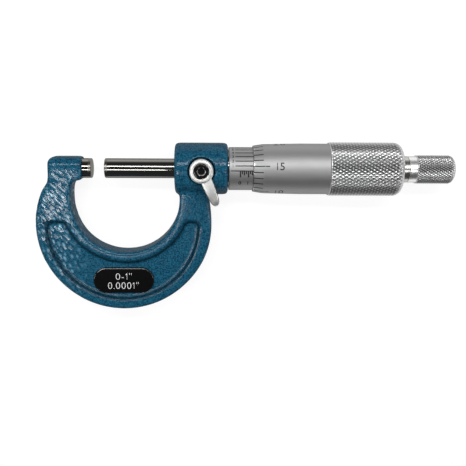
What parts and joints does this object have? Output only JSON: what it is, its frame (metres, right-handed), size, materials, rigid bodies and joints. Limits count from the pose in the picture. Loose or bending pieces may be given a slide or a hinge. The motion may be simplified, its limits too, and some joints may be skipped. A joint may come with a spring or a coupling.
{
  "type": "outside micrometer",
  "caption": "Outside micrometer with a C-shaped enamelled frame, graduated sleeve and thimble, ratchet knob and spindle lock lever; it measures 0 to 1 inch.",
  "frame": {"origin": "centre of the anvil's measuring face, on the spindle axis", "axes": "+X along the spindle from the anvil to the ratchet, +Y away from the bow, +Z out of the front face; it lies on its back"},
  "size_m": [0.1356, 0.0549, 0.0187],
  "materials": {
    "enamel": "glossy hammertone enamel",
    "polished_steel": "ground and polished",
    "hard_metal": "lapped hard metal",
    "label_black": "glossy, domed",
    "satin_chrome": "satin",
    "bright_chrome": "bright",
    "lever_chrome": "fine satin",
    "black_oxide": "oiled black oxide",
    "spring_steel": "drawn",
    "shoe_brass": "turned"
  },
  "bodies": {
    "root": {"frame": "enamel", "anvil": "polished_steel", "anvil_tip": "hard_metal", "label_plate": "label_black", "inner_sleeve": "polished_steel", "adjusting_nut": "polished_steel", "lock_washer": "spring_steel"},
    "sleeve": {"outer_sleeve": "satin_chrome"},
    "spindle_axial": {"spindle_tip": "hard_metal"},
    "thimble_group": {"spindle": "polished_steel", "thimble": "satin_chrome", "ratchet_stator": "bright_chrome", "ratchet_washer": "polished_steel", "ratchet_screw": "bright_chrome"},
    "ratchet_group": {"ratchet_knob": "satin_chrome", "ratchet_clutch": "polished_steel", "ratchet_spring": "spring_steel"},
    "lock": {"lock_stud": "polished_steel", "lock_lever": "lever_chrome", "lock_screw": "black_oxide"},
    "shoe": {"lock_shoe": "shoe_brass"}
  },
  "joints": [
    {"name": "spindle_feed", "type": "slide", "parent": "root", "child": "spindle_axial", "axis": [1, 0, 0], "range_m": [-0.00417, 0.02123]},
    {"name": "thimble_turn", "type": "hinge", "parent": "spindle_axial", "child": "thimble_group", "pos_m": [0.0883, 0, 0], "axis": [1, 0, 0], "range_deg": [-2364.5, 12036.5]},
    {"name": "ratchet_turn", "type": "hinge", "parent": "thimble_group", "child": "ratchet_group", "pos_m": [0.111, 0, 0], "axis": [1, 0, 0], "continuous": true},
    {"name": "sleeve_adjust", "type": "hinge", "parent": "root", "child": "sleeve", "pos_m": [0.06, 0, 0], "axis": [1, 0, 0], "range_deg": [-15, 15]},
    {"name": "lock_turn", "type": "hinge", "parent": "root", "child": "lock", "pos_m": [0.0352, 0, 0.0083], "axis": [0, 0, 1], "range_deg": [-60.1, 20.1]},
    {"name": "lock_press", "type": "slide", "parent": "root", "child": "shoe", "axis": [0, 0, 1], "range_m": [-0.0001, 0.0000333]}
  ],
  "couplings": [
    {"joint": "thimble_turn", "follows": "spindle_feed", "rad_per_m": 9894.8},
    {"joint": "lock_turn", "follows": "lock_press", "rad_per_m": 10472}
  ]
}
